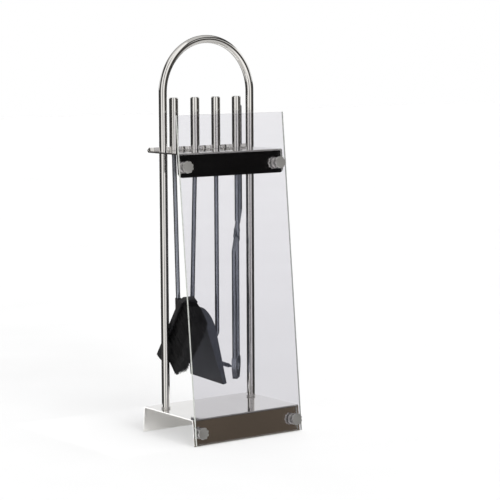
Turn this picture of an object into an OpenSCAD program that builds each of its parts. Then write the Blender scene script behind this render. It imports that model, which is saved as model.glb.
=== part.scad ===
// Free-standing fireplace tool set: a bent steel base, two tube legs with a bow
// handle, a slotted hanger plate, a glass front and four hanging tools.
// Frame: origin on the floor below the middle of the whole set, +X to its right,
// -Y towards the glass front, +Z up. Millimetres. The shapes are drawn with the legs
// at y = 0 and moved back together by legs_y.

/* [Stand] */
// Distance between the centres of the two legs
leg_spacing = 190; // [180:1:196]
// Outer diameter of the leg and bow tubes
leg_d = 14.5; // [13:0.5:15]
// Wall thickness of every tube
tube_wall = 1.2; // [0.8:0.1:1.5]
// Height of the middle of the bow tube at its top
bow_top_z = 709; // [700:1:760]
// Height of a foot ring
ring_h = 3; // [2:0.5:5]

/* [Base] */
// Width of the base channel
base_w = 232; // [224:1:250]
// Height of the top of the base plate
base_h = 47; // [40:1:60]
// Distance from the legs to the front bend of the base
base_front = 117; // [110:1:130]
// Distance from the legs to the rear bend of the base
base_rear = 39.5; // [34:0.5:50]
// Thickness of the base sheet
base_t = 2; // [1.5:0.5:2.5]
// Outer radius of the bends in both sheets
bend_r = 3; // [2.5:0.5:4]
// Lean of the glass and of the flanges, in degrees
lean = 5.4; // [4:0.1:6]

/* [Hanger] */
// Height of the top of the hanger plate
hanger_z = 511; // [500:1:515]
// Width of the hanger plate
hanger_w = 228; // [222:1:240]
// Distance from the legs to the rear face of the hanger
hanger_rear = 22; // [21:0.5:24]
// Thickness of the hanger sheet
hanger_t = 2.5; // [2:0.5:3]
// Height of the front flange of the hanger
flange_h = 42.5; // [38:0.5:48]
// Height of the upturned rear lips above the plate
lip_h = 6; // [4:0.5:8]
// Width of the slots that the rods hang in
slot_w = 9.4; // [9:0.1:10]
// Sideways step from a rod's seat to the mouth of its slot
slot_step = 12.4; // [11:0.1:13]
// Gap between the lips at the mouth of a slot
mouth_w = 18; // [17:0.5:20]

/* [Glass] */
// Width of the glass pane
glass_w = 231; // [220:1:232]
// Thickness of the glass pane
glass_t = 4; // [3:0.5:5]
// Height of the top edge of the glass
glass_top = 577; // [560:1:585]
// Height of the bottom edge of the glass
glass_bottom = 1.5; // [1:0.5:4]
// Distance between the centres of the two screws of the base
base_screws = 206; // [190:1:208]
// Distance between the centres of the two screws of the hanger
hanger_screws = 201; // [190:1:204]
// Diameter of a scalloped screw head
head_d = 21.5; // [18:0.5:24]
// Number of lobes round a screw head
head_lobes = 9; // [6:1:12]
// Thickness of a screw head
head_h = 4; // [3:0.5:8]
// Length of a spacer between flange and glass
spacer_h = 3.5; // [2:0.5:5]

/* [Tools] */
// Distance between two neighbouring tools
tool_pitch = 45.8; // [44:0.1:47]
// Distance of the hanging tools behind the legs
tool_y = 5; // [4:0.5:7]
// Outer diameter of a handle
handle_d = 16; // [14:0.5:17]
// Length of a handle
handle_l = 94; // [85:1:110]
// Diameter of the rods
rod_d = 8; // [7:0.5:8.5]
// Forward lean of the brush rod, in degrees
brush_lean = 1.9; // [0:0.1:2.5]
// Backward lean of the shovel rod, in degrees
shovel_lean = 2.75; // [0:0.05:3]
// Length of the brush block
block_l = 144; // [120:1:146]
// Width of the brush block
block_w = 36; // [30:1:37]
// Length of the bristles
bristle_l = 66; // [50:1:68]
// Width of the front edge of the shovel pan
pan_w = 106; // [90:1:108]
// Length of the shovel pan
pan_l = 136; // [130:1:145]
// Opening of the tongs' arms from the middle of one to the other
tongs_gap = 33; // [30:1:36]

/* [Hidden] */
$fn = 48;

cut = 1;                      // overrun of every cutting solid
// distance from the legs to the front bend of the hanger, in line with the base's flange
hanger_front = base_front - (hanger_z - base_h) * tan(lean);
lip_lean = 12;                // lean of the rear lips, in degrees
lip_corner_r = 4;             // radius of the lips' upper corners
bend_steps = 8;               // facets round a bend in a sheet
legs_y = 28.58;               // the legs behind the middle of the whole set
leg_x = leg_spacing / 2;
leg_bore = leg_d - 2 * tube_wall;
stud_d = 6;                   // studs and screws inside the legs
glass_stud_d = 5;             // shafts of the glass screws
hang_gap = 0.3;               // a hanging handle above the plate
handle_z = hanger_z + hang_gap;
tongs_angle = 44;             // turn of the tongs' opening plane from X towards Y
brush_x = tool_x(0);
shovel_x = tool_x(1);
poker_x = tool_x(2);
tongs_x = tool_x(3);

// clearances
hole_play = 0.4;              // hole round a loose stud or screw
washer_play = 0.2;            // washer or spacer round its screw
press_play = 0.02;            // stud in the hole of its insert or nut

// stand
insert_l = 24;                // length of a threaded plug
ring_d = leg_d + 2;
ring_groove_d = 1.2;          // groove round the middle of a foot ring
base_screw_z = 22.5;          // height of the lower glass screws
hanger_screw_z = hanger_z - 24.5;
flange_corner_r = 8;          // lower corners of the hanger's flange
lip_chamfer = 5;              // slant at the outer end of the end lips
scallop_d = 5.2;              // hollows round a screw head
scallop_out = 1.2;            // centre of a hollow outside the head's edge
washer_t = 0.8;
nut_w = 9.2;                  // cap nut across its corners
nut_t = 4;
dome_r = 4;
dome_h = 3;                   // straight part of a nut's cap

// handles
cap_t = 1.5;
ferrule_t = 3;
handle_bore = handle_d - 2 * tube_wall;
plug_l = 10;                  // part of a cap inside its handle
rod_grip = 22;                // length of rod held inside a handle
joint_d = rod_d + 0.2;        // round weld where two stretches of rod meet
rod_neck = 5;                 // upright rod below a handle, before it leans

// brush
brush_rod_l = 280;            // from the neck to the end in the block's socket
block_t = 9;
block_tilt = 34.5;            // lean of the block, its lower end to the rear
block_top = [-40, 250];       // y and z of the middle of the block's top edge
block_corner = 7;             // slanted corners of the block
bristle_rim = 2;              // bare rim of the block round its bristles
socket_d = 11;
socket_l = 20;                // depth of the rod in the block's socket
socket_root = 34;             // runs on below the rod's end, down to the block's back

// shovel
shovel_rod_l = 296;
pan_t = 1.5;
pan_tilt = 14;                // lean of the pan's floor, its front edge to the right
pan_flare = 10.5;             // lean of the pan's sides in its floor
pan_round_l = 40;             // length of the pan's rounded rear
pan_back_h = 18;              // height of the pan's wall at the rear
pan_front_h = 7.5;            // height of the pan's walls at the front edge
pan_place = [33.5, -3, -421]; // middle of the front edge in the leaning rod's frame
rivet_d = 4;
rivet_head_d = 8;
rivet_head_h = 1.5;
rivet_places = [88, 106];     // along the floor, from the front edge
tang_t = 3;
tang_w = 14;
tang_l = 52;
tang_back = 6;                // end of the tang short of the pan's rear
sleeve_d = 12.5;
sleeve_l = 24;

// poker
poker_l = 333;                // from the handle to the start of the neck
neck_r = 14;
neck_turn = 45;
neck_run = 6;                 // straight stretch between neck and hook
hook_r = 28;
hook_turn = 115;
tip_l = 24;
point_l = 9;                  // length of the pointed end
turn_steps = 10;              // stations round a bend of the poker

// tongs
tongs_pivot_z = 359 - hanger_z;
flat_t = 3.8;                 // thickness of the flattened pivot eyes
flat_gap = 0.15;              // from the pivot plane to either eye
eye_w = 13;
eye_reach = 19.5;             // half length of the flattened part at the pivot
rod_root = 2;                 // rod that runs on into a flattened part
rivet_axle_d = 5;
axle_head_d = 8;
axle_head_h = 1.2;
arm_top = [tongs_gap, 226];   // x and z from the pivot
arm_knee = [tongs_gap, 35];
arm_elbow = [-tongs_gap, -35];
claw_z = -239;                // height of the claws' tops from the pivot
claw_h = 33;
claw_t = 9;
claw_gap = 0.8;

steel = "silver";
dark = "dimgray";
black = [0.06, 0.06, 0.06];

function tool_x(i) = (i - 1.5) * tool_pitch;

// ---------- shared shapes ----------

// Tube with its bottom on z = 0
module tube(d, bore, h) {
    difference() {
        cylinder(d = d, h = h);
        translate([0, 0, -cut]) cylinder(d = bore, h = h + 2 * cut);
    }
}

// The children moved from the legs' plane to the frame of the whole set
module in_frame() {
    translate([0, legs_y, 0]) children();
}

// A copy of the children at each leg
module at_legs() {
    for (side = [-1, 1]) translate([side * leg_x, 0, 0]) children();
}

// The children at both screws of a front flange, at height z: origin on the flange's
// outer face, +Z along its outward normal
module on_front(spacing, z) {
    for (side = [-1, 1])
        translate([side * spacing / 2, front_y(z), z]) rotate([90 - lean, 0, 0]) children();
}
module at_base_screws() {
    on_front(base_screws, base_screw_z) children();
}
module at_hanger_screws() {
    on_front(hanger_screws, hanger_screw_z) children();
}
module at_screws() {
    at_base_screws() children();
    at_hanger_screws() children();
}
// Outer face of both front flanges at a height
function front_y(z) = on_lean(bend_r - base_front, base_h - bend_r, bend_r, -1, z)[0];

// The children at a tool's place, on top of the plate
module at_tool(x) {
    translate([x, tool_y, handle_z]) children();
}

// ---------- base ----------

// Points round a bend: centre, radius, first and last angle
function arc(y, z, r, from, to) =
    [for (i = [0:bend_steps]) let (a = from + (to - from) * i / bend_steps)
        [y + r * cos(a), z + r * sin(a)]];
// Point at height z on the leaning face through the end of a bend; dir -1 leans forwards
function on_lean(y, bend_z, r, dir, z) =
    [y + dir * (r * cos(lean) + (bend_z + r * sin(lean) - z) * tan(lean)), z];

module base_channel() {
    front = -base_front + bend_r;
    rear = base_rear - bend_r;
    z = base_h - bend_r;
    inner_r = bend_r - base_t;
    color(steel) in_frame() difference() {
        across(base_w) polygon(concat(
            [on_lean(front, z, bend_r, -1, 0)],
            arc(front, z, bend_r, 180 - lean, 90),
            arc(rear, z, bend_r, 90, lean),
            [on_lean(rear, z, bend_r, 1, 0), on_lean(rear, z, inner_r, 1, 0)],
            arc(rear, z, inner_r, lean, 90),
            arc(front, z, inner_r, 90, 180 - lean),
            [on_lean(front, z, inner_r, -1, 0)]));
        at_legs() translate([0, 0, base_h - base_t - cut])
            cylinder(d = stud_d + hole_play, h = base_t + 2 * cut);
        at_base_screws() translate([0, 0, -base_t - 2 * cut])
            cylinder(d = glass_stud_d + hole_play, h = base_t + 4 * cut);
    }
}
// A profile in Y and Z, drawn out to a width along X
module across(w) {
    translate([-w / 2, 0, 0]) rotate([90, 0, 90]) linear_extrude(w) children();
}

// ---------- legs and bow ----------

module leg() {
    translate([0, 0, base_h + ring_h])
        tube(leg_d, leg_bore, hanger_z - hanger_t - base_h - ring_h);
}
module left_leg() {
    color(steel) in_frame() translate([-leg_x, 0, 0]) leg();
}
module right_leg() {
    color(steel) in_frame() translate([leg_x, 0, 0]) leg();
}
module bow_handle() {
    bend_z = bow_top_z - leg_x;
    color(steel) in_frame() {
        at_legs() translate([0, 0, hanger_z]) tube(leg_d, leg_bore, bend_z - hanger_z);
        translate([0, 0, bend_z]) rotate([90, 0, 0]) rotate_extrude(angle = 180, $fn = 120)
            translate([leg_x, 0]) difference() {
                circle(d = leg_d);
                circle(d = leg_bore);
            }
    }
}
module foot_rings() {
    color(steel) in_frame() at_legs() translate([0, 0, base_h]) difference() {
        cylinder(d = ring_d, h = ring_h);
        translate([0, 0, -cut]) cylinder(d = stud_d + hole_play, h = ring_h + 2 * cut);
        translate([0, 0, ring_h / 2]) rotate_extrude()
            translate([ring_d / 2, 0]) circle(d = ring_groove_d, $fn = 16);
    }
}
// Plug pressed into a tube's end, with the hole for its stud
module insert() {
    tube(leg_bore, stud_d, insert_l);
}
module foot_inserts() {
    color(dark) in_frame() at_legs() translate([0, 0, base_h + ring_h]) insert();
}
module foot_screws() {
    head_t = 4;
    key_d = 4;
    color(steel) in_frame() at_legs() translate([0, 0, base_h - base_t]) difference() {
        union() {
            translate([0, 0, -head_t]) cylinder(d = 2 * stud_d, h = head_t);
            cylinder(d = stud_d - press_play, h = base_t + ring_h + insert_l - 4);
        }
        translate([0, 0, -head_t - cut]) cylinder(d = key_d, h = 2.5 + cut, $fn = 6);
    }
}
module leg_top_inserts() {
    color(dark) in_frame() at_legs() translate([0, 0, hanger_z - hanger_t - insert_l]) insert();
}
module bow_inserts() {
    color(dark) in_frame() at_legs() translate([0, 0, hanger_z]) insert();
}
module joint_studs() {
    reach = insert_l - 4;
    color(steel) in_frame() at_legs() translate([0, 0, hanger_z - hanger_t - reach])
        cylinder(d = stud_d - press_play, h = 2 * reach + hanger_t);
}

// ---------- hanger ----------

module hanger_plate() {
    front = -hanger_front + bend_r;
    rear = hanger_rear - bend_r;
    z = hanger_z - bend_r;
    lip_z = hanger_z - hanger_t + bend_r;
    inner_r = bend_r - hanger_t;
    low_z = hanger_z - flange_h;
    color(steel) in_frame() difference() {
        across(hanger_w) polygon(concat(
            [on_lean(front, z, bend_r, -1, low_z)],
            arc(front, z, bend_r, 180 - lean, 90),
            arc(rear, lip_z, inner_r, 270, 360 - lip_lean),
            [lip_top(rear, lip_z, inner_r), lip_top(rear, lip_z, bend_r)],
            arc(rear, lip_z, bend_r, 360 - lip_lean, 270),
            arc(front, z, inner_r, 90, 180 - lean),
            [on_lean(front, z, inner_r, -1, low_z)]));
        for (i = [0:3]) translate([tool_x(i), 0, hanger_z]) slot();
        at_legs() translate([0, 0, hanger_z - hanger_t - cut])
            cylinder(d = stud_d + hole_play, h = hanger_t + 2 * cut);
        at_hanger_screws() translate([0, 0, -2 * hanger_t - cut])
            cylinder(d = glass_stud_d + hole_play, h = 2 * hanger_t + 3 * cut);
        for (side = [-1, 1]) {
            lip_corner(side);
            flange_corner(side);
        }
    }
}
// Top of a lip's face that leans back from the end of its bend
function lip_top(y, z, r) =
    [y + r * cos(lip_lean) + (hanger_z + lip_h - z + r * sin(lip_lean)) * tan(lip_lean),
     hanger_z + lip_h];
// Round lower corner of the front flange
module flange_corner(side) {
    r = flange_corner_r;
    x = hanger_w / 2 - r;
    translate([0, cut - hanger_front, hanger_z - flange_h]) rotate([90, 0, 0])
        linear_extrude(4 * bend_r) polygon(concat(
            [[side * x, -cut], [side * (x + r + cut), -cut],
             [side * (x + r + cut), r]],
            [for (a = [0:15:90]) [side * (x + r * cos(a)), r * (1 - sin(a))]]));
}
// Hook-shaped slot: seat, step to the side, mouth through the rear edge
module slot() {
    deep = hanger_t + 2 * cut;
    mouth_x = slot_step;
    translate([0, tool_y, -hanger_t - cut]) {
        cylinder(d = slot_w, h = deep);
        translate([0, -slot_w / 2, 0]) cube([mouth_x, slot_w, deep]);
        translate([mouth_x, 0, 0]) cylinder(d = slot_w, h = deep);
        translate([mouth_x - slot_w / 2, 0, 0]) cube([slot_w, hanger_rear, deep]);
    }
    // the handle passes between the round ends of two lips here
    translate([mouth_x, hanger_rear + 3 * cut, 0]) rotate([90, 0, 0])
        linear_extrude(hanger_t + 4 * cut) polygon(concat(
            lip_end(-1), [[-mouth_w / 2, 0], [mouth_w / 2, 0]], [for (i = [6:-1:0]) lip_end(1)[i]]));
}
// Points of a round lip end from the top down, seen from the mouth's middle
function lip_end(side) =
    [for (i = [-1:5]) let (a = 90 - max(i, 0) * 18)
        [side * (mouth_w / 2 + lip_corner_r * (1 - cos(a))),
         i < 0 ? lip_h + cut : lip_h - lip_corner_r * (1 - sin(a))]];
// Outer corner of the end lips, cut at a slant
module lip_corner(side) {
    translate([side * hanger_w / 2, hanger_rear + 3 * cut, hanger_z + lip_h]) rotate([90, 0, 0])
        linear_extrude(hanger_t + 4 * cut)
            polygon([[-side * lip_chamfer, cut], [side * cut, cut], [side * cut, -lip_chamfer]]);
}

// ---------- glass and its fasteners ----------

module glass_pane() {
    low = [front_y(glass_bottom), glass_bottom];
    run = (glass_top - glass_bottom) / cos(lean);
    color([0.82, 0.85, 0.9, 0.35]) in_frame()
    difference() {
        translate([0, low[0], low[1]]) rotate([90 - lean, 0, 0])
            translate([-glass_w / 2, 0, spacer_h]) cube([glass_w, run, glass_t]);
        at_screws() translate([0, 0, spacer_h - cut])
            cylinder(d = glass_stud_d + 3, h = glass_t + 2 * cut);
    }
}
module glass_screws() {
    shaft_l = 9;
    color(steel) in_frame() at_screws() {
        translate([0, 0, spacer_h + glass_t + washer_t]) difference() {
            cylinder(d = head_d, h = head_h);
            for (i = [0:head_lobes - 1]) rotate([0, 0, i * 360 / head_lobes])
                translate([head_d / 2 + scallop_out, 0, -cut])
                    cylinder(d = scallop_d, h = head_h + 2 * cut, $fn = 24);
        }
        translate([0, 0, -shaft_l]) cylinder(d = glass_stud_d, h = shaft_l + spacer_h + glass_t + 1);
    }
}
module glass_washers() {
    color("white") in_frame() at_screws() translate([0, 0, spacer_h + glass_t])
        tube(head_d - 6, glass_stud_d + washer_play, washer_t);
}
module glass_spacers() {
    color(steel) in_frame() at_screws() tube(head_d - 2, glass_stud_d + washer_play, spacer_h);
}
module glass_nuts() {
    color(steel) in_frame() {
        at_base_screws() cap_nut(base_t);
        at_hanger_screws() cap_nut(hanger_t);
    }
}
// Hexagon nut with a round cap on the inside of a flange of thickness t
module cap_nut(t) {
    translate([0, 0, -t - nut_t]) difference() {
        union() {
            cylinder(d = nut_w, h = nut_t, $fn = 6);
            rotate([180, 0, 0]) cylinder(r = dome_r, h = dome_h);
            translate([0, 0, -dome_h]) intersection() {
                sphere(r = dome_r);
                translate([-dome_r, -dome_r, -dome_r]) cube([2 * dome_r, 2 * dome_r, dome_r]);
            }
        }
        translate([0, 0, -4]) cylinder(d = glass_stud_d + press_play, h = nut_t + 5);
    }
}

// ---------- handles ----------

module handle_tube() {
    translate([0, 0, ferrule_t])
        tube(handle_d, handle_bore, handle_l - ferrule_t - cap_t);
}
module handle_end() {
    translate([0, 0, handle_l - cap_t]) {
        cylinder(d1 = handle_d, d2 = handle_d - 1, h = cap_t);
        translate([0, 0, -plug_l]) cylinder(d = handle_bore, h = plug_l);
    }
}
module handle_foot() {
    difference() {
        union() {
            cylinder(d = handle_d, h = ferrule_t);
            cylinder(d = handle_bore, h = rod_grip + 2);
        }
        translate([0, 0, -cut]) cylinder(d = rod_d, h = rod_grip + cut);
    }
}
// Upright end of a rod that sits in its handle
module rod_top(below) {
    translate([0, 0, -below]) cylinder(d = rod_d, h = rod_grip + below);
}

module brush_handle() {
    color(steel) in_frame() at_tool(brush_x) handle_tube();
}
module brush_cap() {
    color(steel) in_frame() at_tool(brush_x) handle_end();
}
module brush_ferrule() {
    color(steel) in_frame() at_tool(brush_x) handle_foot();
}
module shovel_handle() {
    color(steel) in_frame() at_tool(shovel_x) handle_tube();
}
module shovel_cap() {
    color(steel) in_frame() at_tool(shovel_x) handle_end();
}
module shovel_ferrule() {
    color(steel) in_frame() at_tool(shovel_x) handle_foot();
}
module poker_handle() {
    color(steel) in_frame() at_tool(poker_x) handle_tube();
}
module poker_cap() {
    color(steel) in_frame() at_tool(poker_x) handle_end();
}
module poker_ferrule() {
    color(steel) in_frame() at_tool(poker_x) handle_foot();
}
module tongs_handle() {
    color(steel) in_frame() at_tool(tongs_x) handle_tube();
}
module tongs_cap() {
    color(steel) in_frame() at_tool(tongs_x) handle_end();
}
module tongs_ferrule() {
    color(steel) in_frame() at_tool(tongs_x) handle_foot();
}

// ---------- brush ----------

// The children in the leaning frame of a rod, origin at its neck
module lean_rod(angle) {
    translate([0, 0, -rod_neck]) rotate([angle, 0, 0]) children();
}

module brush_rod() {
    color(dark) in_frame() at_tool(brush_x) {
        rod_top(rod_neck);
        lean_rod(-brush_lean) {
            sphere(d = joint_d);
            translate([0, 0, -brush_rod_l]) cylinder(d = rod_d, h = brush_rod_l);
        }
    }
}
module brush_socket() {
    color(black) in_frame() difference() {
        at_tool(brush_x) lean_rod(-brush_lean) translate([0, 0, -brush_rod_l]) difference() {
            translate([0, 0, -socket_root]) cylinder(d = socket_d, h = socket_root + socket_l);
            cylinder(d = rod_d, h = socket_l + cut);
        }
        block_frame() translate([-block_w, block_t / 2 - 100, -block_l])
            cube([2 * block_w, 100, 2 * block_l]);
    }
}
// The children in the frame of the brush block: origin at the middle of its top end,
// -Z down along the block, -Y out of the bristle side
module block_frame() {
    translate([brush_x, block_top[0], block_top[1]]) rotate([block_tilt, 0, 0]) children();
}
module brush_block() {
    corner = block_corner;
    half = block_w / 2;
    color(black) in_frame() block_frame() translate([0, block_t / 2, 0]) rotate([90, 0, 0])
        linear_extrude(block_t)
            polygon([[-half, -corner], [corner - half, 0], [half - corner, 0], [half, -corner],
                     [half, corner - block_l], [half - corner, -block_l],
                     [corner - half, -block_l], [-half, corner - block_l]]);
}
module brush_bristles() {
    half = block_w / 2 - bristle_rim;
    color(black) in_frame() block_frame() translate([-half, -block_t / 2, 0]) rotate([90, 0, 90])
        linear_extrude(2 * half)
            polygon([[0, -6], [-bristle_l * 0.8, -8], [-bristle_l, -20],
                     [-bristle_l * 0.85, 20 - block_l], [-bristle_l * 0.7, -block_l - 8],
                     [-bristle_l * 0.5, -block_l - 3], [0, 4 - block_l]]);
}

// ---------- shovel ----------

// The children in the frame of the pan: X across it, Y up along its floor from the front
// edge, Z out of its hollow
module pan_frame() {
    at_tool(shovel_x) lean_rod(shovel_lean) translate(pan_place)
        rotate([0, -pan_tilt, 0]) rotate([90, 0, 90]) children();
}
// Outline of the pan, drawn in by an inset
function pan_outline(inset) =
    let (
        half = pan_w / 2 - inset,
        side_l = pan_l - pan_round_l,
        shoulder = half - side_l * tan(pan_flare),
        rise = pan_l - side_l - inset
    )
    concat([[half, 0]],
           [for (a = [0:9:180]) [shoulder * cos(a), side_l + rise * sin(a)]],
           [[-half, 0]]);
module shovel_pan() {
    color(dark) in_frame() difference() {
        pan_frame() pan_sheet();
        // the rod passes the root of the rear wall
        at_shovel_end() cylinder(d = rod_d + 0.6, h = 40);
    }
}
module pan_sheet() {
    difference() {
        linear_extrude(pan_back_h) polygon(pan_outline(0));
        translate([0, 0, pan_t]) linear_extrude(pan_back_h) polygon(pan_outline(pan_t));
        translate([-pan_w, -cut, pan_t]) cube([2 * pan_w, cut + 0.01, pan_back_h]);
        // walls grow from the front edge to the rear
        translate([-pan_w, 0, pan_front_h])
            rotate([atan((pan_back_h - pan_front_h) / (pan_l - pan_round_l)), 0, 0])
                translate([0, -20, 0]) cube([2 * pan_w, 2 * pan_l, 2 * pan_back_h]);
        for (y = rivet_places) translate([0, y, -cut]) cylinder(d = rivet_d, h = pan_t + 2 * cut);
    }
}
// Flat tang below the floor with the socket that holds the rod's end
module shovel_tang() {
    color(dark) in_frame() difference() {
        union() {
            pan_frame() translate([-tang_w / 2, pan_l - tang_l - tang_back, -tang_t])
                cube([tang_w, tang_l, tang_t]);
            at_shovel_end() translate([0, 0, -2]) cylinder(d = sleeve_d, h = sleeve_l);
        }
        at_shovel_end() cylinder(d = rod_d, h = sleeve_l);
        pan_frame() linear_extrude(2 * pan_back_h) polygon(pan_outline(0));
        pan_frame() for (y = rivet_places) translate([0, y, -2 * tang_t])
            cylinder(d = rivet_d, h = 3 * tang_t);
    }
}
// The children at the lower end of the shovel's rod, +Z up along it
module at_shovel_end() {
    at_tool(shovel_x) lean_rod(shovel_lean) translate([0, 0, -shovel_rod_l]) children();
}
module shovel_rod() {
    color(dark) in_frame() at_tool(shovel_x) {
        rod_top(rod_neck);
        lean_rod(shovel_lean) {
            sphere(d = joint_d);
            translate([0, 0, -shovel_rod_l]) cylinder(d = rod_d, h = shovel_rod_l);
        }
    }
}
module shovel_rivets() {
    color(dark) in_frame() pan_frame() for (y = rivet_places) translate([0, y, 0]) {
        translate([0, 0, -tang_t]) cylinder(d = rivet_d, h = pan_t + tang_t);
        translate([0, 0, -tang_t - rivet_head_h])
            cylinder(d1 = rivet_d + 1, d2 = rivet_head_d, h = rivet_head_h);
        translate([0, 0, pan_t]) cylinder(d1 = rivet_head_d, d2 = rivet_d + 1, h = rivet_head_h);
    }
}

// ---------- poker ----------

// Rod that turns left, then curls back under itself to a point on the right
module poker_rod() {
    color(dark) in_frame() at_tool(poker_x) rotate([90, 0, 0]) bar(poker_line());
}
// Stations [x, z, direction, radius] down the poker; direction 270 is straight down
function poker_line() =
    let (
        neck_end = 270 - neck_turn,
        neck = turned([0, -poker_l], 270, neck_end, neck_r, -1),
        run = ahead(last(neck), neck_end, neck_run),
        hook_end = neck_end + hook_turn,
        hook = turned(run, neck_end, hook_end, hook_r, 1),
        tip = ahead(last(hook), hook_end, tip_l),
        point = ahead(tip, hook_end, point_l)
    )
    concat([[0, rod_grip, 270, rod_d / 2]], neck, hook,
           [[tip[0], tip[1], hook_end, rod_d / 2], [point[0], point[1], hook_end, 1]]);
function last(stations) = stations[len(stations) - 1];
function ahead(p, dir, l) = [p[0] + l * cos(dir), p[1] + l * sin(dir)];
// Stations round a bend from one direction to another; side 1 turns left, -1 right
function turned(p, from, to, r, side) =
    let (centre = ahead(p, from + 90 * side, r))
    [for (i = [0:turn_steps])
        let (
            a = from + (to - from) * i / turn_steps,
            q = ahead(centre, a - 90 * side, r)
        )
        [q[0], q[1], a, rod_d / 2]];
// Round bar through stations in the plane of X and Y
module bar(stations) {
    n = 20;
    top = len(stations) - 1;
    points = [for (s = stations) for (i = [0:n - 1]) let (a = i * 360 / n)
        [s[0] - s[3] * cos(a) * sin(s[2]), s[1] + s[3] * cos(a) * cos(s[2]), s[3] * sin(a)]];
    sides = [for (k = [0:top - 1]) for (i = [0:n - 1]) let (j = (i + 1) % n)
        [k * n + i, k * n + j, (k + 1) * n + j, (k + 1) * n + i]];
    first_end = [for (i = [n - 1:-1:0]) i];
    last_end = [for (i = [0:n - 1]) top * n + i];
    polyhedron(points, concat([first_end], sides, [last_end]), convexity = 6);
}

// ---------- tongs ----------

// The children in the tongs' plane: X is the opening direction, origin at the pivot
module tongs_frame() {
    at_tool(tongs_x) translate([0, 0, tongs_pivot_z]) rotate([0, 0, tongs_angle]) children();
}

// Flattened bar along Z with an eye in its middle; side +1 is in front of the pivot plane
module pivot_flat(side) {
    y = side > 0 ? -flat_gap - flat_t : flat_gap;
    difference() {
        translate([-eye_w / 2, y, -eye_reach]) cube([eye_w, flat_t, 2 * eye_reach]);
        rotate([90, 0, 0]) translate([0, 0, -2 * flat_t])
            cylinder(d = rivet_axle_d + (side > 0 ? 0 : 0.1), h = 4 * flat_t);
    }
}
module tongs_arm() {
    color(dark) in_frame() {
        at_tool(tongs_x) rod_top(-tongs_pivot_z - eye_reach + rod_root);
        tongs_frame() {
            pivot_flat(1);
            translate([0, 0, claw_z]) cylinder(d = rod_d, h = -claw_z - eye_reach + rod_root);
            claw(1);
        }
    }
}
// Claw below the end of an arm; side +1 reaches towards -X from an arm at 0
module claw(side) {
    reach = tongs_gap / 2 - claw_gap / 2;
    half = rod_d / 2;
    translate([0, claw_t / 2, claw_z]) rotate([90, 0, 0]) linear_extrude(claw_t)
        polygon([[side * half, 6], [side * (half + 1.5), 0], [side * (half + 1.5), -12],
                 [-side * 4, -claw_h], [-side * reach, -claw_h],
                 [-side * reach, -claw_h + 14], [-side * half, -8], [-side * half, 6]]);
}
module tongs_second_arm() {
    knee_angle = atan2(arm_knee[0], arm_knee[1]);
    knee_l = norm(arm_knee);
    color(dark) in_frame() tongs_frame() {
        translate([arm_knee[0], 0, arm_knee[1]]) {
            cylinder(d = rod_d, h = arm_top[1] - arm_knee[1]);
            sphere(d = joint_d);
        }
        translate([arm_top[0], 0, arm_top[1]]) sphere(d = joint_d);
        rotate([0, knee_angle, 0]) {
            pivot_flat(-1);
            translate([0, 0, eye_reach - rod_root])
                cylinder(d = rod_d, h = knee_l - eye_reach + rod_root);
            translate([0, 0, -norm(arm_elbow)])
                cylinder(d = rod_d, h = norm(arm_elbow) - eye_reach + rod_root);
        }
        translate([arm_elbow[0], 0, arm_elbow[1]]) rotate([0, 0, 90]) {
            sphere(d = joint_d);
            translate([0, 0, claw_z - arm_elbow[1]]) cylinder(d = rod_d, h = arm_elbow[1] - claw_z);
        }
        translate([arm_elbow[0], 0, 0]) claw(-1);
    }
}
module tongs_rivet() {
    span = flat_t + flat_gap;
    play = 2 * flat_gap;      // between the moving eye and the rivet's head
    color(dark) in_frame() tongs_frame() rotate([90, 0, 0]) {
        translate([0, 0, -span - play]) cylinder(d = rivet_axle_d, h = 2 * span + play);
        translate([0, 0, span]) cylinder(d1 = axle_head_d, d2 = axle_head_d - 2, h = axle_head_h);
        translate([0, 0, -span - play - axle_head_h])
            cylinder(d1 = axle_head_d - 2, d2 = axle_head_d, h = axle_head_h);
    }
}

base_channel();
left_leg();
right_leg();
bow_handle();
foot_rings();
foot_inserts();
foot_screws();
leg_top_inserts();
bow_inserts();
joint_studs();
hanger_plate();
glass_pane();
glass_screws();
glass_washers();
glass_spacers();
glass_nuts();
brush_handle();
brush_cap();
brush_ferrule();
brush_rod();
brush_block();
brush_socket();
brush_bristles();
shovel_handle();
shovel_cap();
shovel_ferrule();
shovel_rod();
shovel_pan();
shovel_tang();
shovel_rivets();
poker_handle();
poker_cap();
poker_ferrule();
poker_rod();
tongs_handle();
tongs_cap();
tongs_ferrule();
tongs_arm();
tongs_second_arm();
tongs_rivet();
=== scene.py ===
import math
import random

import bpy
import numpy as np
from mathutils import Matrix, Vector


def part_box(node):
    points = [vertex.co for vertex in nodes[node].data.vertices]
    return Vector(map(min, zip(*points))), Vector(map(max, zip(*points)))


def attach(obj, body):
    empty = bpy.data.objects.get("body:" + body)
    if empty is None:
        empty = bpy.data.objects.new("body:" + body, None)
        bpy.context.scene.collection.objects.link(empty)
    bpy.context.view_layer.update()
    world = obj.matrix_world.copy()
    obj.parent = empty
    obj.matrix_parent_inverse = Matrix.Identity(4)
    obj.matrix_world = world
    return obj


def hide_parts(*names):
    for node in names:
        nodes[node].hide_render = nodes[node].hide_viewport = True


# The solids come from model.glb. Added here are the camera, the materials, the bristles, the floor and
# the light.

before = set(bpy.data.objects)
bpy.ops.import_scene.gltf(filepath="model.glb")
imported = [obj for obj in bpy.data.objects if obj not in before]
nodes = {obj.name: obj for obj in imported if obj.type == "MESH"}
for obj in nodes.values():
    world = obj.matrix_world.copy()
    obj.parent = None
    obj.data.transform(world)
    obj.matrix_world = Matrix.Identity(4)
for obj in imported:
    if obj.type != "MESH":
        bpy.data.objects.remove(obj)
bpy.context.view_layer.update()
scene = bpy.context.scene
scene.view_settings.view_transform = "Standard"


def centre(node):
    lo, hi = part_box(node)
    return (lo + hi) / 2


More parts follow.
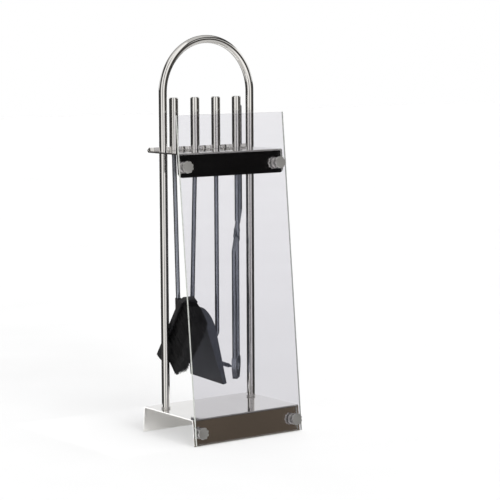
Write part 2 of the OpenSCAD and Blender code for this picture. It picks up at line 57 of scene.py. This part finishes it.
legs_y = centre("left_leg").y

# ---------- camera ----------

CAM_AZ, CAM_PITCH, CAM_ROLL = (math.radians(a) for a in (36.133, 6.486, -0.294))
CAM_PLACE = Vector((-1.9438, -2.7919 + legs_y, 0.7142))
SENSOR_MM, LENS_MM = 36, 135.66528


def add_camera():
    back = Vector((-math.sin(CAM_AZ) * math.cos(CAM_PITCH),
                   -math.cos(CAM_AZ) * math.cos(CAM_PITCH), math.sin(CAM_PITCH)))
    right = (-back).cross(Vector((0, 0, 1))).normalized()
    up = back.cross(right)
    cam_x = right * math.cos(CAM_ROLL) + up * math.sin(CAM_ROLL)
    cam_y = back.cross(cam_x)
    data = bpy.data.cameras.new("camera")
    data.sensor_width = SENSOR_MM
    data.lens = LENS_MM
    data.clip_end = 50
    camera = bpy.data.objects.new("camera", data)
    scene.collection.objects.link(camera)
    turn = Matrix((cam_x, cam_y, back)).transposed().to_4x4()
    camera.matrix_world = Matrix.Translation(CAM_PLACE) @ turn
    scene.camera = camera


add_camera()


# ---------- node helpers ----------

class Graph:
    """A node tree under construction: add nodes, and link them by their sockets."""

    def __init__(self, owner, output):
        owner.use_nodes = True
        self.tree = owner.node_tree
        self.tree.nodes.clear()
        self.out = self.add(output)

    def add(self, kind, **values):
        """A node with its sockets or its settings given by name."""
        n = self.tree.nodes.new(kind)
        for k, v in values.items():
            if k in n.inputs:
                n.inputs[k].default_value = v
            else:
                setattr(n, k, v)
        return n

    def link(self, a, b):
        self.tree.links.new(a, b)

    def calc(self, op, a, *rest):
        """Math nodes in a row: op on a alone, or on a and each further value in turn."""
        for b in rest or (None,):
            n = self.add("ShaderNodeMath", operation=op)
            for k, v in enumerate((a, b)):
                if isinstance(v, (int, float)):
                    n.inputs[k].default_value = v
                elif v is not None:
                    self.link(v, n.inputs[k])
            a = n.outputs["Value"]
        return a

    def vector(self, op, a, b):
        """One Vector Math node; b is a socket or three numbers."""
        n = self.add("ShaderNodeVectorMath", operation=op)
        self.link(a, n.inputs[0])
        if isinstance(b, tuple):
            n.inputs[1].default_value = b
        else:
            self.link(b, n.inputs[1])
        return n

    def span(self, value, source, target=(0, 1), kind="LINEAR"):
        """A value carried from one range to another, and held at its ends."""
        n = self.add("ShaderNodeMapRange", interpolation_type=kind)
        for end, number in zip(("From Min", "From Max", "To Min", "To Max"), (*source, *target)):
            n.inputs[end].default_value = number
        self.link(value, n.inputs["Value"])
        return n.outputs["Result"]

    def ramp(self, fac, stops):
        """Colours by position, as (position, colour) pairs."""
        r = self.add("ShaderNodeValToRGB")
        e = r.color_ramp.elements
        while len(e) < len(stops):
            e.new(0.5)
        for k, (at, colour) in enumerate(stops):
            e[k].position = at
            e[k].color = (*colour, 1)
        self.link(fac, r.inputs["Fac"])
        return r.outputs["Color"]

    def mix(self, fac, a, b):
        """Shader a where fac is 0, and b where it is 1."""
        n = self.add("ShaderNodeMixShader")
        self.link(fac, n.inputs["Fac"])
        self.link(a, n.inputs[1])
        self.link(b, n.inputs[2])
        return n.outputs["Shader"]


class Mat(Graph):
    """A material under construction, with noise laid over the object's own coordinates."""

    NOISE = (0.3, 0.7)    # the part of a noise's range that is used

    def __init__(self, name):
        self.m = bpy.data.materials.new(name)
        super().__init__(self.m, "ShaderNodeOutputMaterial")

    def noise(self, scale, detail=3.0, stretch=(1, 1, 1)):
        c = self.add("ShaderNodeTexCoord")
        place = self.add("ShaderNodeMapping", Scale=stretch)
        self.link(c.outputs["Object"], place.inputs["Vector"])
        n = self.add("ShaderNodeTexNoise", Scale=scale, Detail=detail, Roughness=0.55)
        self.link(place.outputs["Vector"], n.inputs["Vector"])
        return n.outputs["Fac"]

    def mottle(self, fac, low, high):
        """A colour that wanders from low to high with the noise fac."""
        return self.ramp(fac, list(zip(self.NOISE, (low, high))))

    def vary(self, fac, low, high):
        """A number that wanders from low to high with the noise fac."""
        return self.span(fac, self.NOISE, (low, high))

    def bump(self, height, strength, distance):
        b = self.add("ShaderNodeBump", Strength=strength, Distance=distance)
        self.link(height, b.inputs["Height"])
        return b.outputs["Normal"]

    def principled(self, colour, rough, normal=None, **values):
        """A Principled shader; colour, rough and normal are sockets, or rough is a number."""
        p = self.add("ShaderNodeBsdfPrincipled")
        for k, v in values.items():
            p.inputs[k.replace("_", " ")].default_value = v
        self.link(colour, p.inputs["Base Color"])
        if isinstance(rough, float):
            p.inputs["Roughness"].default_value = rough
        else:
            self.link(rough, p.inputs["Roughness"])
        if normal:
            self.link(normal, p.inputs["Normal"])
        return p.outputs["BSDF"]

    def finish(self, shader):
        self.link(shader, self.out.inputs["Surface"])
        return self.m


def shade(colour, share):
    return tuple(c * share for c in colour)


# ---------- materials ----------

def polished(name, colour, rough, brush=(1, 1, 0.02), wear=0.04):
    """Polished steel with faint drawn lines, finger marks and a slow change of tint."""
    m = Mat(name)
    return m.finish(m.principled(
        m.mottle(m.noise(9, 2), shade(colour, 0.93), colour),
        m.vary(m.noise(28, 4), rough, rough + wear),
        m.bump(m.noise(900, 2, stretch=brush), 0.03, 0.0002),
        Metallic=1.0))


def coated(name, colour, rough, metallic):
    """Satin anthracite coat: fine grain, and slow changes of tone and gloss."""
    m = Mat(name)
    return m.finish(m.principled(
        m.mottle(m.noise(35, 4), shade(colour, 0.9), shade(colour, 1.1)),
        m.vary(m.noise(60), rough - 0.03, rough + 0.04),
        m.bump(m.noise(1500, 2), 0.035, 0.0001),
        Metallic=metallic, Specular_IOR_Level=0.25))


def plastic(name, colour, rough):
    """Moulded plastic with a fine grain."""
    m = Mat(name)
    return m.finish(m.principled(
        m.mottle(m.noise(40), shade(colour, 0.8), colour),
        m.vary(m.noise(70), rough - 0.05, rough + 0.1),
        m.bump(m.noise(1800), 0.2, 0.0002)))


steel = polished("polished_tube", (0.86, 0.85, 0.83), 0.05)
sheet_steel = polished("polished_sheet", (0.84, 0.83, 0.81), 0.04, brush=(0.03, 1, 1))
handle_steel = polished("polished_handle", (0.84, 0.83, 0.81), 0.07)
head_steel = polished("turned_heads", (0.86, 0.85, 0.83), 0.36, brush=(1, 1, 1), wear=0.1)
zinc = polished("zinc_plate", (0.62, 0.62, 0.60), 0.3, brush=(1, 1, 1), wear=0.12)
anthracite = coated("anthracite_coat", (0.30, 0.32, 0.36), 0.2, 0.9)
pan_coat = coated("pan_coat", (0.036, 0.039, 0.046), 0.46, 0.1)
block_plastic = plastic("black_moulding", (0.012, 0.012, 0.013), 0.42)
washer_plastic = plastic("clear_washer", (0.75, 0.76, 0.74), 0.3)


GLASS_IOR = 1.45
PANE_T = 0.004
# a surface is an edge where the cosine from its normal to the face's is below this
EDGE_SHARE = 0.7
# tint of one crossing, by height up the pane: a faint cool tint, with painted shade darkening it lower
# down
PANE_TINT_AND_SHADE = [(0.0, (0.845, 0.842, 0.861)), (0.55, (0.896, 0.892, 0.911)), (1.0, (0.937, 0.934, 0.948))]


def glass():
    """Clear pane with a faint cool tint, darkened lower down by painted shade, and darker green ground
    edges.
    """
    m = Mat("clear_pane")
    lo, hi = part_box("glass_pane")
    place = m.add("ShaderNodeTexCoord")
    xyz = m.add("ShaderNodeSeparateXYZ")
    m.link(place.outputs["Object"], xyz.inputs["Vector"])
    clear = m.add("ShaderNodeBsdfTransparent")
    # painted shade: the pane's tint grows darker lower down
    m.link(m.ramp(m.span(xyz.outputs["Z"], (lo.z, hi.z)), PANE_TINT_AND_SHADE), clear.inputs["Color"])
    gloss = m.add("ShaderNodeBsdfGlossy")
    m.link(m.vary(m.noise(14), 0.0, 0.03), gloss.inputs["Roughness"])
    # the same share of reflection on both sides: rays cross the pane without bending
    geo = m.add("ShaderNodeNewGeometry")
    fres = m.add("ShaderNodeFresnel")
    m.link(m.span(geo.outputs["Backfacing"], (0, 1), (GLASS_IOR, 1 / GLASS_IOR)), fres.inputs["IOR"])
    face = m.mix(fres.outputs["Fac"], clear.outputs["BSDF"], gloss.outputs["BSDF"])
    # ground edges, told from the faces by their direction
    tilt = math.atan2(hi.y - lo.y - PANE_T, hi.z - lo.z)
    along = m.vector("DOT_PRODUCT", geo.outputs["Normal"], (0, -math.cos(tilt), math.sin(tilt)))
    is_edge = m.calc("LESS_THAN", m.calc("ABSOLUTE", along.outputs["Value"]), EDGE_SHARE)
    edge = m.principled(m.mottle(m.noise(240), (0.42, 0.43, 0.41), (0.62, 0.64, 0.60)), 0.3, IOR=1.5)
    return m.finish(m.mix(is_edge, face, edge))


def bristle():
    """Stiff black fibre."""
    m = Mat("bristle")
    return m.finish(m.principled(
        m.mottle(m.noise(400), (0.004, 0.004, 0.0045), (0.013, 0.013, 0.014)),
        m.vary(m.noise(90), 0.35, 0.55),
        m.bump(m.noise(3000, 2), 0.1, 0.0001)))


def dress(names, material):
    for n in names:
        if not nodes[n].material_slots:
            nodes[n].data.materials.append(material)
        for slot in nodes[n].material_slots:
            slot.material = material


dress(["base_channel", "hanger_plate"], sheet_steel)
dress(["left_leg", "right_leg", "bow_handle"], steel)
dress(["foot_inserts", "foot_screws", "leg_top_inserts", "bow_inserts", "joint_studs"], zinc)
dress(["glass_pane"], glass())
dress(["glass_screws", "glass_spacers", "glass_nuts", "foot_rings"], head_steel)
dress(["glass_washers"], washer_plastic)
for tool in ("brush", "shovel", "poker", "tongs"):
    dress([tool + "_handle", tool + "_cap", tool + "_ferrule"], handle_steel)
dress(["brush_rod", "shovel_rod", "shovel_tang", "shovel_rivets", "poker_rod", "tongs_arm",
       "tongs_second_arm", "tongs_rivet"], anthracite)
dress(["shovel_pan"], pan_coat)
dress(["brush_block", "brush_socket"], block_plastic)


# ---------- bristles ----------

def mesh_object(name, verts, faces, material, smooth=True):
    me = bpy.data.meshes.new(name)
    me.from_pydata(verts, [], faces)
    me.update()
    if smooth:
        me.shade_smooth()
    me.materials.append(material)
    o = bpy.data.objects.new(name, me)
    scene.collection.objects.link(o)
    return o


STRAND_SIDES = 3
STRAND_ACROSS = Vector((1, 0.1, 0))    # a direction that no strand runs along


def strand(verts, faces, points, radii):
    """Add a thin closed strand through the points to a mesh's lists."""
    base = len(verts)
    for k, (p, r) in enumerate(zip(points, radii)):
        d = (points[min(k + 1, len(points) - 1)] - points[max(k - 1, 0)]).normalized()
        u = d.cross(STRAND_ACROSS).normalized()
        v = d.cross(u)
        for i in range(STRAND_SIDES):
            a = 2 * math.pi * i / STRAND_SIDES
            verts.append(p + r * (math.cos(a) * u + math.sin(a) * v))
    for k in range(len(points) - 1):
        a = base + k * STRAND_SIDES
        b = a + STRAND_SIDES
        for i in range(STRAND_SIDES):
            j = (i + 1) % STRAND_SIDES
            faces.append((a + i, a + j, b + j, b + i))
    last = base + (len(points) - 1) * STRAND_SIDES
    faces.append(tuple(base + i for i in reversed(range(STRAND_SIDES))))
    faces.append(tuple(last + i for i in range(STRAND_SIDES)))


BLOCK_TILT = math.radians(34.5)
BLOCK_L, BLOCK_W, BLOCK_T = 0.144, 0.036, 0.009
BLOCK_TOP = Vector((centre("brush_block").x, legs_y - 0.040, 0.250))


def from_block(x, y, z):
    """A point of the block's own frame: y out of the bristle side is negative, z up along it."""
    c, s = math.cos(BLOCK_TILT), math.sin(BLOCK_TILT)
    return BLOCK_TOP + Vector((x, y * c - z * s, y * s + z * c))


# tufts: a grid down the block, its rows shifted by part of a column to either side in turn
ROWS, COLS = 22, 6
ROW_SHIFT = 0.125
FIELD_TOP, FIELD_L, FIELD_W = 0.004, BLOCK_L - 0.024, BLOCK_W - 0.005
TUFT_R, ROOT_DEPTH = 0.0016, 0.0006
# how far the tips stand out and drop, by place down the block from 0 to 1
TIP_AT = [0.0, 0.25, 0.48, 0.72, 1.0]
TIP_OUT = [0.060, 0.064, 0.063, 0.062, 0.061]
TIP_DROP = [0.013, 0.013, 0.012, 0.011, 0.009]
TIP_HALF_W = 0.0158
SCATTER_ALONG, SCATTER_TIP = 0.012, 0.0009
# how much wider a tuft is at its tips, across and along the block
FLARE_X, FLARE_Z = 1.7, 2.2
# share of the length worn off the right side, all along and further at the lower end
WORN, WORN_LOW = 0.08, 0.07
STRAND_BOW = 0.004
STRAND_R = [0.00034, 0.00032, 0.0003, 0.00022]


def one_bristle(rng, t, x0, z0):
    """Points of one bristle of the tuft at x0, z0, which is the share t down the block."""
    tt = min(max(t + rng.gauss(0, SCATTER_ALONG), 0), 1)
    worn = 1 - (x0 / BLOCK_W + 0.5) * (WORN + WORN_LOW * tt)
    out = float(np.interp(tt, TIP_AT, TIP_OUT)) * rng.uniform(0.93, 1.0) * worn
    drop = float(np.interp(tt, TIP_AT, TIP_DROP)) * rng.uniform(0.85, 1.05) * worn
    a, rad = rng.uniform(0, 2 * math.pi), TUFT_R * math.sqrt(rng.random())
    rx, rz = rad * math.cos(a), rad * math.sin(a)
    tip_x = x0 * 0.98 + rx * FLARE_X + rng.gauss(0, SCATTER_TIP)
    tip_x = min(max(tip_x, -TIP_HALF_W), TIP_HALF_W)
    root = from_block(x0 + rx, -BLOCK_T / 2 + ROOT_DEPTH, z0 + rz)
    tip = from_block(tip_x, -out, z0 + rz * FLARE_Z - drop)
    bow = (from_block(0, 0, 1) - from_block(0, 0, 0)) * STRAND_BOW * rng.uniform(0.3, 1.2)
    return [root, root.lerp(tip, 0.36) + bow * 0.9, root.lerp(tip, 0.7) + bow * 0.7, tip]


def bristles():
    rng = random.Random(7)
    verts, faces = [], []
    per_tuft = 34
    for r in range(ROWS):
        t = (r + 0.5) / ROWS
        for c in range(COLS):
            x0 = ((c + 0.5 + ROW_SHIFT * (1 if r % 2 else -1)) / COLS - 0.5) * FIELD_W
            for _ in range(per_tuft):
                points = one_bristle(rng, t, x0, -FIELD_TOP - t * FIELD_L)
                strand(verts, faces, points, STRAND_R)
    o = mesh_object("brush_strands", verts, faces, bristle())
    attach(o, "brush")
    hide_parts("brush_bristles")


bristles()


# ---------- stage ----------

WHITE = (1, 1, 1, 1)


def pale(name, tone, glow):
    """Pale floor with a slow change of tone and a little light of its own."""
    m = Mat(name)
    return m.finish(m.principled(m.mottle(m.noise(3, 2), (tone,) * 3, (tone + 0.02,) * 3), 0.7,
                                 Emission_Color=WHITE, Emission_Strength=glow))


def sheet(name, half, front, z, tone, glow):
    """A level square of floor, cut off at its front edge."""
    corners = [(-half, front, z), (half, front, z), (half, half, z), (-half, half, z)]
    return mesh_object(name, corners, [(0, 1, 2, 3)], pale(name, tone, glow), smooth=False)


FLOOR_HALF = 12.0
NEAR_HALF, NEAR_Z, NEAR_GAP = 0.27, 0.0002, 0.003


def floor():
    o = sheet("stage_floor", FLOOR_HALF, -FLOOR_HALF, 0, 0.36, 0.42)
    o.visible_glossy = False
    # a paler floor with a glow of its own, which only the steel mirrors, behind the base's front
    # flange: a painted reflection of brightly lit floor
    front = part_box("base_channel")[0].y + NEAR_GAP
    # painted reflection: a paler, glowing copy of the floor, seen only in the steel
    near = sheet("mirrored_floor_glow", NEAR_HALF, front, NEAR_Z, 0.9, 0.18)
    near.visible_camera = near.visible_diffuse = near.visible_shadow = False


floor()


def sun(name, direction, strength, angle):
    d = bpy.data.lights.new(name, "SUN")
    d.energy = strength
    d.angle = math.radians(angle)
    o = bpy.data.objects.new(name, d)
    o.rotation_euler = Vector(direction).to_track_quat("-Z", "Y").to_euler()
    o.visible_glossy = False
    scene.collection.objects.link(o)


sun("key", (-0.45, 0.35, -1.0), 1.1, 50)
sun("front", (0.1, 1.0, -0.3), 5.0, 40)

SOFT_LIGHT = 0.86                    # strength of the white sky on matt surfaces
ROOM_DARK, ROOM_MOST = 0.018, 1.1    # least and most light that the steel mirrors


class Room(Graph):
    """What the steel mirrors, by direction: az in degrees from the camera's side, and height z."""

    def __init__(self, world):
        super().__init__(world, "ShaderNodeOutputWorld")
        self.way = self.add("ShaderNodeTexCoord").outputs["Generated"]
        xyz = self.add("ShaderNodeSeparateXYZ")
        self.link(self.way, xyz.inputs["Vector"])
        x, y, self.z = (xyz.outputs[k] for k in "XYZ")
        sin, cos = math.sin(CAM_AZ), math.cos(CAM_AZ)
        ahead = self.calc("ADD", self.calc("MULTIPLY", x, -sin), self.calc("MULTIPLY", y, -cos))
        aside = self.calc("ADD", self.calc("MULTIPLY", x, cos), self.calc("MULTIPLY", y, -sin))
        self.az = self.calc("MULTIPLY", self.calc("ARCTAN2", aside, ahead), 180 / math.pi)
        self.side = self.calc("ABSOLUTE", self.az)

    def band(self, value, rise=None, fall=None):
        """1 between the soft edges rise and fall, and 0 beyond them; a missing edge is open."""
        up = self.span(value, rise, kind="SMOOTHSTEP") if rise else 1
        down = self.calc("SUBTRACT", 1, self.span(value, fall, kind="SMOOTHSTEP")) if fall else 1
        return self.calc("MULTIPLY", up, down)

    def glow(self, strength):
        return self.add("ShaderNodeBackground", Color=WHITE, Strength=strength).outputs["Background"]


def studio_world():
    """White round the object for the eye; what the steel mirrors is a darker room with soft boxes."""
    scene.world = bpy.data.worlds.new("studio")
    w = Room(scene.world)

    # two soft boxes beside the camera with a thin dark gap between them
    boxes = w.calc("ADD", w.calc("MULTIPLY", w.band(w.side, (5, 11), (44, 54)), 0.95), 0.03)
    strips = w.calc("MULTIPLY", boxes, w.band(w.z, (-0.9, -0.3)))
    # white wall low behind the object
    behind = w.calc("MULTIPLY", w.band(w.side, (84, 120)), w.band(w.z, (0.03, 0.055), (0.3, 0.5)))
    wall = w.calc("MULTIPLY", behind, 0.92)
    # light that the hanger's rear lips mirror
    lips = w.calc("MULTIPLY", w.band(w.az, (60, 66)), w.band(w.z, (0.17, 0.2), (0.34, 0.44)), 0.6)
    # pale floor under the object, and a warm patchy stretch that the base's front flange mirrors
    ground = w.calc("MULTIPLY", w.band(w.z, None, (-0.5, -0.24)), 0.62)
    patch = w.add("ShaderNodeTexNoise", Scale=9.0)
    w.link(w.way, patch.inputs["Vector"])
    far = w.calc("MULTIPLY", w.band(w.z, (-0.08, -0.07), (-0.035, -0.02)),
                 w.band(w.az, (67.5, 69.5), (74.5, 76.5)), patch.outputs["Fac"], 0.24)
    # a wide soft box overhead, for the plates and caps seen from above
    above = w.calc("MULTIPLY", w.band(w.z, (0.62, 0.8)), 0.55)
    light = w.calc("ADD", strips, wall, lips, ground, far, above, ROOM_DARK)
    light = w.calc("MINIMUM", light, ROOM_MOST)
    # a dark stretch that the hanger's flange mirrors
    dark = w.calc("MULTIPLY", w.band(w.az, (56, 62), (84, 90)), w.band(w.z, (0.0, 0.03), (0.14, 0.17)))
    light = w.calc("MULTIPLY", light, w.calc("SUBTRACT", 1, w.calc("MULTIPLY", dark, 0.85)))

    warm = w.ramp(w.calc("MULTIPLY", far, 9.0), [(0, (1, 0.985, 0.965)), (1, (1, 0.8, 0.58))])
    cool = w.ramp(behind, [(0, (1, 1, 1)), (1, (0.96, 0.975, 1))])
    mirror = w.add("ShaderNodeBackground")
    w.link(light, mirror.inputs["Strength"])
    w.link(w.vector("MULTIPLY", warm, cool).outputs["Vector"], mirror.inputs["Color"])

    path = w.add("ShaderNodeLightPath")
    rest = w.mix(path.outputs["Is Glossy Ray"], w.glow(SOFT_LIGHT), mirror.outputs["Background"])
    whole = w.mix(path.outputs["Is Camera Ray"], rest, w.glow(1.0))
    w.link(whole, w.out.inputs["Surface"])


studio_world()
